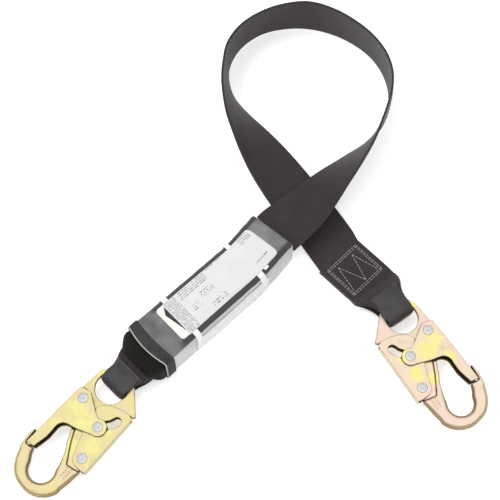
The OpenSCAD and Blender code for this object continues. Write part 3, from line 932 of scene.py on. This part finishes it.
def make_hook(side):
    """One hook: its forged body, pressed gate and lever, rivets and springs."""
    place = hook_frame(side)
    local = Local(place)

    def forged(co):
        """Weight of smoothing: light on the flat plate, heavy on the bowl and in the throat."""
        x, y, _ = local(co).T
        bowl = np.clip((x - 0.060) / 0.006, 0, 1)
        throat = np.clip(y / 0.003, 0, 1) * np.clip((x - 0.040) / 0.004, 0, 1)
        return 0.16 + 0.44 * np.maximum(bowl, throat)

    body = remeshed(side + "_hook_body", side + "_forged_body", 0.00045)
    relax(body, 2, forged)
    round_section(body, local)
    relax(body, 10, forged)
    thinned(body, 0.5)
    dress(body, zinc_material(side + "_body_zinc", place, *PLATING[side], 0.0))
    make_stamp(side, place)
    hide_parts(side + "_hook_body")
    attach(body, side + "_hook")
    for part, inner in (("gate", 0.0046), ("lever", 0.0028)):
        shell = remeshed(side + "_hook_" + part, side + "_pressed_" + part, 0.0004)
        relax(shell, 3, lambda co: np.full(len(co), 0.45))
        thinned(shell, 0.4)
        zinc = zinc_material(side + "_" + part + "_zinc", place, *PLATING[side], inner)
        dress(shell, zinc)
        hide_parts(side + "_hook_" + part)
        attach(shell, side + "_" + part)
    for name, pin, reach, owner in (("gate_rivet", GATE_PIVOT, GATE_OUT, "_hook"),
                                    ("catch_rivet", CATCH_PIN, GATE_OUT, "_gate"),
                                    ("lever_rivet", LEVER_PIVOT, LEVER_OUT, "_hook")):
        rivet = make_rivet(side + "_" + name + "_turned", place, pin, reach)
        dress(rivet, RIVET)
        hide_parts(side + "_hook_" + name)
        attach(rivet, side + owner)
    for name in ("gate_spring", "lever_spring"):
        spring = frame["nodes"][side + "_hook_" + name]
        spring.data.materials.clear()
        spring.data.materials.append(SPRING)


# One rivet head from its punched middle out over its raised ring: radius, and share of the crown's height.
RIVET_HEAD = ((0.0, 0.45), (0.0006, 0.50), (0.0012, 0.92), (0.0017, 1.0), (0.0023, 0.96), (0.0028, 0.62),
              (0.0034, 0.56), (0.0039, 0.42), (0.0042, 0.15))
RIVET_CROWN = 0.0012
RIVET_SHANK = 0.0025


def make_rivet(name, place, pin, reach):
    """A peened rivet: a plain shank with a head on each side, each with a raised ring and a punched middle."""
    under = reach + 0.00005
    profile = [(r, reach + RIVET_CROWN * rise) for r, rise in RIVET_HEAD]
    profile += [(RIVET_HEAD[-1][0] * 0.985, under), (RIVET_SHANK, under), (RIVET_SHANK, 0.0)]
    profile += [(r, -z) for r, z in reversed(profile[:-1])]
    count = 40
    verts = []
    for r, z in profile[1:-1]:
        for a in turns(count):
            notch = 0.00022 * max(0.0, math.cos(5 * a + pin[0] * 900)) if 0.001 < r < 0.003 else 0.0
            low = z - math.copysign(notch, z)
            verts.append(place @ Vector((pin[0] + r * math.cos(a), pin[1] + r * math.sin(a), low)))
    rows = len(profile) - 2
    faces = [tuple(reversed(face)) for face in grid_faces(rows, count, closed=True)]
    for row, (_, z), top in ((0, profile[0], True), (rows - 1, profile[-1], False)):
        verts.append(place @ Vector((pin[0], pin[1], z)))
        for k in range(count):
            a, b = row * count + k, row * count + (k + 1) % count
            faces.append((a, b, len(verts) - 1) if top else (b, a, len(verts) - 1))
    return mesh_object(name, verts, faces)


make_hook("strap")
make_hook("absorber")

# ---- absorber pack

# The pack's lower end and heading in plan, and how far it bends towards its upper end, past which length.
PACK_AT = Vector((-0.0796, -0.0954, 0)) + PLAN_SHIFT
PACK_YAW = math.radians(43.5)
PACK_BEND = math.radians(7)
PACK_STRAIGHT = 0.103
# Its length, half width, underside, top and corner radius.
PACK_LENGTH = 0.141
PACK_HALF = 0.0219
PACK_LOW, PACK_TOP = 0.0003, 0.0326
PACK_CORNER = 0.0032


class PackLine:
    """The pack's bent centre line in plan, as a table of places and headings a millimetre apart."""

    first = -0.03

    def __init__(self):
        self.spots = []
        x, y = self.first, 0.0
        for i in range(190):
            s = self.first + i * MM
            turn = PACK_BEND * smooth((s - PACK_STRAIGHT + 0.014) / 0.028)
            self.spots.append((x, y, turn))
            x += MM * math.cos(turn)
            y += MM * math.sin(turn)

    def place(self, s, across, z):
        """World point at length s along the pack, so far across it and at height z."""
        i = (s - self.first) / MM
        k = min(len(self.spots) - 2, max(0, int(i)))
        u = i - k
        x, y, turn = (lerp(a, b, u) for a, b in zip(self.spots[k], self.spots[k + 1]))
        x -= across * math.sin(turn)
        y += across * math.cos(turn)
        c, n = math.cos(PACK_YAW), math.sin(PACK_YAW)
        return PACK_AT + Vector((x * c - y * n, x * n + y * c, z))


PACK = PackLine()


# Outward normals, as (y, z), of the pack's top, front, underside and back. Each side runs towards the next.
SIDE_NORMALS = ((0, 1), (-1, 0), (0, -1), (1, 0))


def pack_ring(a, half, low, high, corner):
    """Point and normal on a rounded rectangle, (y, z, ny, nz), at share a of a turn from the top's middle."""
    w, h, middle = half - corner, (high - low) / 2 - corner, (low + high) / 2
    quarter = math.pi * corner / 2
    d = (a % 1.0) * 4 * (w + h + quarter) + w
    side = 0
    while d > 2 * (h if side % 2 else w) + quarter:
        d -= 2 * (h if side % 2 else w) + quarter
        side += 1
    out, ahead = SIDE_NORMALS[side % 4], SIDE_NORMALS[(side + 1) % 4]
    reach, run = (w, h) if side % 2 else (h, w)
    angle = max(0.0, d - 2 * run) / corner
    along = min(d, 2 * run) - run
    n = [o * math.cos(angle) + t * math.sin(angle) for o, t in zip(out, ahead)]
    y, z = (o * reach + t * along + corner * turned for o, t, turned in zip(out, ahead, n))
    return y, middle + z, *n


def hem_bow(s, across):
    """The lower end's edge bows outwards in its middle."""
    return s - 0.0032 * (1 - (across / PACK_HALF) ** 2) * (1 - smooth(s / 0.014))


def cover_point(s, a, lift=0.0):
    """Point on the padded cover at length s and share a round it, lifted off its face."""
    y, z, ny, nz = pack_ring(a, PACK_HALF, PACK_LOW, PACK_TOP, PACK_CORNER)
    belly = math.sin(math.pi * min(1, max(0, s / PACK_LENGTH))) ** 0.5
    flat = (1 - (y / PACK_HALF) ** 2) if abs(nz) > 0.5 else (1 - ((z - 0.0165) / 0.0165) ** 2)
    puff = 0.0006 * belly * max(0, flat) if nz > -0.5 else 0.0
    pucker = 0.00028 * noise.noise(Vector((s * 130, a * 26, 1.7)))
    out = lift + (puff + pucker if nz > -0.5 else 0.0)
    return PACK.place(hem_bow(s, y), y + ny * out, z + nz * out) + PUFF.at(s, a)


class Puff:
    """How far the cloth simulation moved the cover, on a grid along and round the pack."""

    stations = 48
    around = 88
    cap = 0.0016
    frames = 18

    def __init__(self):
        self.moves = None

    def at(self, s, a):
        """The move at length s and share a of a turn, or none before the simulation."""
        if self.moves is None:
            return Vector()
        i = min(self.stations - 1.001, max(0.0, s / PACK_LENGTH * (self.stations - 1)))
        k = (a % 1.0) * self.around
        row, column = int(i), int(k) % self.around
        u, v = i - row, k - int(k)
        beside = (column + 1) % self.around
        m = self.moves
        below, above = (lerp(m[i, column], m[i, beside], v) for i in (row, row + 1))
        return Vector(lerp(below, above, u))

    def simulate(self):
        """Blows the sewn cover up a little over its packed core and keeps a soft share of the move."""
        rings = [[cover_point(PACK_LENGTH * i / (self.stations - 1), k / self.around, -0.0008)
                  for k in range(self.around)] for i in range(self.stations)]
        piece = tube_piece("cover_simulation", rings)
        grid = self.stations * self.around
        start = np.array([v.co for v in piece.data.vertices])
        held = piece.vertex_groups.new(name="held")
        held.add([j for j in range(len(start)) if start[j, 2] < 0.003 or j < 2 * self.around or j >= grid],
                 1.0, "REPLACE")
        cloth_sim = piece.modifiers.new("cloth", "CLOTH")
        settings = cloth_sim.settings
        settings.vertex_group_mass = "held"
        settings.mass = 0.2
        settings.tension_stiffness = 12
        settings.use_pressure = True
        settings.uniform_pressure_force = 4
        settings.effector_weights.gravity = 0
        cloth_sim.collision_settings.use_collision = False
        scene = bpy.context.scene
        for number in range(1, self.frames + 1):
            scene.frame_set(number)
        swollen = piece.evaluated_get(bpy.context.evaluated_depsgraph_get())
        move = (np.array([v.co for v in swollen.data.vertices]) - start)[:grid]
        scene.frame_set(1)
        size = np.linalg.norm(move, axis=1)[:, None]
        self.moves = (move * self.cap / (self.cap + size)).reshape(self.stations, self.around, 3)
        bpy.data.objects.remove(piece, do_unlink=True)


PUFF = Puff()


def make_cover():
    """The padded cover, closed at both ends, with its upper end's edge rolled in."""
    around = 132
    stations = [-0.0008 + i * 0.002 for i in range(70)] + [0.1392, 0.1403, 0.1410]
    rings = []
    for s in stations:
        past = max(0.0, s - 0.1375) / 0.0035
        shrink = 0.0026 * (1 - math.sqrt(max(0.0, 1 - past * past)))
        rings.append([cover_point(s, k / around, -shrink) for k in range(around)])
    piece = tube_piece("absorber_cover", rings)
    dress(piece, COVER)
    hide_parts("pack_cover", "tear_web_core", "tear_web_stitching", "loop_tail", "strap_tail")
    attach(piece, "pack")


def above_floor(point, clearance):
    """The point, raised where it would come closer to the floor than its piece's half thickness."""
    return Vector((point.x, point.y, max(point.z, clearance)))


def make_hem():
    """The woven band round the pack's lower end, with the light piping along its edge."""
    around, band_t, cord_r = 160, 0.0009, 0.0006
    rows = [[above_floor(cover_point(-0.0014 + i * 0.0008, 0.5 + k / around, 0.00055), band_t / 2 + 0.00001)
             for k in range(around)] for i in range(11)]
    piece = grid_piece("hem_band", rows, band_t, closed=True, bevel=0.0003)
    dress(piece, HEM)
    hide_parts("pack_hem")
    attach(piece, "pack")
    along = (PACK.place(0.01, 0, 0) - PACK.place(0, 0, 0)).normalized()
    rings = []
    for k in range(around + 1):
        centre = above_floor(cover_point(-0.0018, k / around, cord_r), cord_r)
        y, z, ny, nz = pack_ring(k / around, PACK_HALF, PACK_LOW, PACK_TOP, PACK_CORNER)
        out = (PACK.place(0, y + ny, z + nz) - PACK.place(0, y, z)).normalized()
        rings.append([centre + (out * math.cos(w) + along * math.sin(w)) * cord_r for w in turns(8)])
    cord = tube_piece("hem_piping", rings)
    dress(cord, PIPING)
    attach(cord, "pack")


def make_liner():
    """The black inner liner, which bulges out of the hem: length, half width and half depth of each ring."""
    stations = [(0.004, 0.0204, 0.0150), (0.000, 0.0206, 0.0150), (-0.0025, 0.0221, 0.0153),
                (-0.005, 0.0228, 0.0150), (-0.0078, 0.0224, 0.0140), (-0.0100, 0.0208, 0.0120),
                (-0.0118, 0.0189, 0.0092), (-0.0132, 0.0172, 0.0064), (-0.0142, 0.0160, 0.0046),
                (-0.0146, 0.0152, 0.0037)]
    middle, around = 0.0158, 72
    rings = []
    for s, half, depth in reversed(stations):
        ring = []
        for k in range(around):
            y, z, ny, nz = pack_ring(k / around, half, middle - depth, middle + depth, min(half, depth) * 0.62)
            fold = 0.0007 * noise.noise(Vector((s * 90, k * 0.16, 5.5)))
            ring.append(PACK.place(s - 0.0026 * (1 - (y / 0.021) ** 2), y + ny * fold, z + nz * fold))
        rings.append(ring)
    piece = tube_piece("black_liner", rings)
    dress(piece, LINER)
    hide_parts("pack_liner")
    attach(piece, "pack")


def share(y):
    """Share of a turn for a point y across the top, positive to the front side."""
    straight = 4 * (PACK_HALF - PACK_CORNER) + 2 * (PACK_TOP - PACK_LOW - 2 * PACK_CORNER)
    return y / (straight + 2 * math.pi * PACK_CORNER)


def patch(name, outline, material, lift, nodes=(), cells=(70, 40)):
    """A label on the cover. outline(u) gives, for u from 0 to 1 along it, (s, near edge, far edge)."""
    rows = []
    for i in range(cells[0] + 1):
        s, a, b = outline(i / cells[0])
        rows.append([cover_point(s, share(lerp(a, b, k / cells[1])), lift) for k in range(cells[1] + 1)])
    piece = grid_piece(name, rows, LABEL_T)
    dress(piece, material)
    if nodes:
        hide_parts(*nodes)
    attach(piece, "pack")


PUFF.simulate()
make_cover()
make_hem()
make_liner()

LABEL_T = 0.00035
LABEL_FROM, LABEL_TO = 0.0290, 0.1270
FLAP_FROM, FLAP_TO = 0.0215, 0.0292
# Half width of the front label and of the flap, and how far the tabs reach round from there.
LABEL_HALF, FLAP_HALF, TAB_REACH = 0.0172, 0.0168, 0.0290
# Blocks of generic print: across from and to, along from and to, row pitch, rows run across, share inked.
FRONT_PRINT = ((-0.0165, 0.0160, 0.0008, 0.0115, 0.0015, True, 0.56),
               (-0.0165, -0.0085, 0.0140, 0.0420, 0.0019, False, 0.55),
               (-0.0168, -0.0150, 0.0430, 0.0640, 0.0018, False, 0.56),
               (-0.0050, 0.0010, 0.0280, 0.0410, 0.0020, False, 0.50),
               (0.0080, 0.0145, 0.0300, 0.0450, 0.0024, False, 0.50),
               (-0.0165, -0.0095, 0.0830, 0.0945, 0.0018, True, 0.56),
               (0.0085, 0.0100, 0.0790, 0.0920, 0.0030, False, 0.56),
               (0.0000, 0.0060, 0.0160, 0.0240, 0.0022, False, 0.46))
SIDE_PRINT = ((-0.011, 0.011, 0.004, 0.074, 0.0022, False, 0.44),)
LABEL = label_material("front_label", (0.68, 0.68, 0.675), (0.22, 0.22, 0.22), FRONT_PRINT)
SIDE = label_material("side_label", (0.70, 0.70, 0.72), (0.42, 0.42, 0.43), SIDE_PRINT)
BLANK = label_material("blank_label", (0.86, 0.86, 0.85))
CREAM = label_material("flap_label", (0.84, 0.83, 0.76))


def rounded_half(half, corner, past):
    """Half width of a label with rounded corners, at a length so far past where the rounding starts."""
    past = max(0.0, past)
    return half - (corner - math.sqrt(max(0.0, corner ** 2 - past ** 2)))


def front_outline(u):
    s, corner = lerp(LABEL_FROM, LABEL_TO, u), 0.004
    half = rounded_half(LABEL_HALF, corner, s - (LABEL_TO - corner))
    return s, -half, half


patch("front_label_panel", front_outline, LABEL, 0.00055, nodes=("label_front",))


def flap_outline(u):
    s, corner = lerp(FLAP_FROM, FLAP_TO, u), 0.003
    half = rounded_half(FLAP_HALF, corner, FLAP_FROM + corner - s)
    return s, -half, half


patch("lower_label_flap", flap_outline, CREAM, 0.00035, nodes=("label_flap",), cells=(16, 30))
for number, s0 in enumerate((0.0310, 0.1010)):
    for side, (a, b) in enumerate(((FLAP_HALF, TAB_REACH), (-TAB_REACH, -FLAP_HALF))):
        patch(f"label_tab_{number}_{side}", lambda u, s0=s0, a=a, b=b: (s0 + 0.005 * u, a, b), BLANK,
              0.00045, nodes=("label_tabs",), cells=(6, 16))
patch("side_label_panel", lambda u: (lerp(0.030, 0.108, u), 0.0262, 0.0495), SIDE, 0.00045,
      nodes=("label_side",), cells=(60, 20))


def gap_outline(u):
    """The gap where the flap stands off the label, a dark sheet of painted shade: a long low triangle."""
    return lerp(0.0252, 0.0289, u), lerp(-0.0080, -0.0150, u), lerp(-0.0074, 0.0130, u)


patch("flap_gap", gap_outline, SHADE, 0.00062, nodes=("label_flap",), cells=(8, 24))
patch("small_tag", lambda u: (lerp(0.1085, 0.1125, u), 0.0160, 0.0192), BLANK, 0.0005, cells=(6, 6))

# ---- floor and light

# Brightness of the studio's walls and ceiling by the height of the direction looked in.
SKY_BANDS = ((0.0, 0.85), (0.08, 0.34), (0.30, 0.26), (0.66, 0.80), (0.97, 1.02))
SKY_STRENGTH = 1.12
# Soft lights: name, place, size in metres and power in watts.
LIGHTS = (("key", (-0.7, 0.3, 1.2), 0.7, 9.0), ("fill", (0.9, -0.9, 1.0), 0.8, 3.0))
FLOOR_HALF = 9


def make_stage():
    """A plain pale floor, a studio's even light from all round, and two soft lights."""
    corners = [(x * FLOOR_HALF, y * FLOOR_HALF, -0.0002) for x, y in ((-1, -1), (1, -1), (1, 1), (-1, 1))]
    floor = mesh_object("floor", corners, [(0, 1, 2, 3)])
    shader = Shader("pale_floor")
    pale = shader.ramp(shader.noise(3, 2), [(0.3, (0.90, 0.90, 0.90)), (0.7, (0.93, 0.93, 0.93))])
    shader.set(Base_Color=pale, Roughness=0.95, Emission_Color=(1, 1, 1, 1), Emission_Strength=0.42)
    floor.data.materials.append(shader.material)
    world = bpy.data.worlds.new("studio")
    world.use_nodes = True
    tree = world.node_tree
    sky = tree.nodes["Background"]
    split = tree.nodes.new("ShaderNodeSeparateXYZ")
    shade = tree.nodes.new("ShaderNodeValToRGB")
    tree.links.new(tree.nodes.new("ShaderNodeTexCoord").outputs["Generated"], split.inputs[0])
    tree.links.new(split.outputs[2], shade.inputs[0])
    tree.links.new(shade.outputs[0], sky.inputs[0])
    for _ in range(3):
        shade.color_ramp.elements.new(0.5)
    for element, (height, level) in zip(shade.color_ramp.elements, SKY_BANDS):
        element.position = height
        element.color = (level, level, level, 1)
    sky.inputs[1].default_value = SKY_STRENGTH
    bpy.context.scene.world = world
    for name, place, size, power in LIGHTS:
        data = bpy.data.lights.new(name, "AREA")
        data.size = size
        data.energy = power
        light = bpy.data.objects.new(name, data)
        light.location = place
        light.visible_glossy = False
        light.rotation_mode = "QUATERNION"
        light.rotation_quaternion = (-Vector(place)).to_track_quat("-Z", "Y")
        bpy.context.scene.collection.objects.link(light)
    bpy.context.scene.view_settings.view_transform = "Standard"


make_stage()
